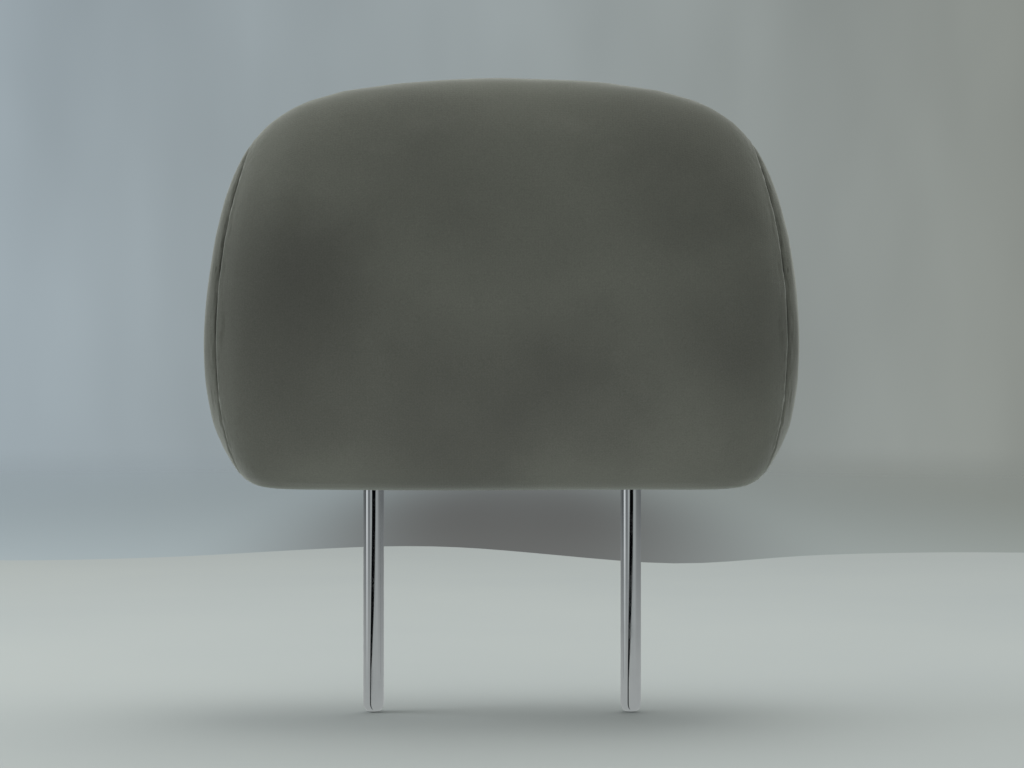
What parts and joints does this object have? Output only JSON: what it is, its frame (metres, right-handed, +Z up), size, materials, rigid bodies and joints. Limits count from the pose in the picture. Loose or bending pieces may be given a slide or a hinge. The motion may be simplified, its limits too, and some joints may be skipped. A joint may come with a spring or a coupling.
{
  "type": "car headrest",
  "caption": "Car headrest: wide soft pad in dark grey velour with sewn side panels, on two straight chromed steel posts, one of them notched for height.",
  "frame": {"origin": "midway between the two post axes, level with the tips of the posts", "axes": "+X to the viewer's right, the cushioned front faces -Y, +Z up along the posts"},
  "size_m": [0.2842, 0.1122, 0.3072],
  "materials": {
    "cover_cloth": "matte",
    "post_chrome": "polished",
    "pad_foam": "matte",
    "armature_plastic": "matte",
    "strip_plastic": "satin",
    "screw_steel": "satin"
  },
  "bodies": {
    "root": {"stay": "post_chrome", "armature_front": "armature_plastic", "armature_rear": "armature_plastic", "armature_screw_1": "screw_steel", "armature_screw_2": "screw_steel", "armature_screw_3": "screw_steel", "armature_screw_4": "screw_steel", "foam_pad": "pad_foam", "cover_main_panel": "cover_cloth", "cover_side_panel_left": "cover_cloth", "cover_side_panel_right": "cover_cloth", "closure_strip_front": "strip_plastic", "closure_strip_rear": "strip_plastic", "post_grommet_left": "strip_plastic", "post_grommet_right": "strip_plastic"}
  },
  "joints": []
}
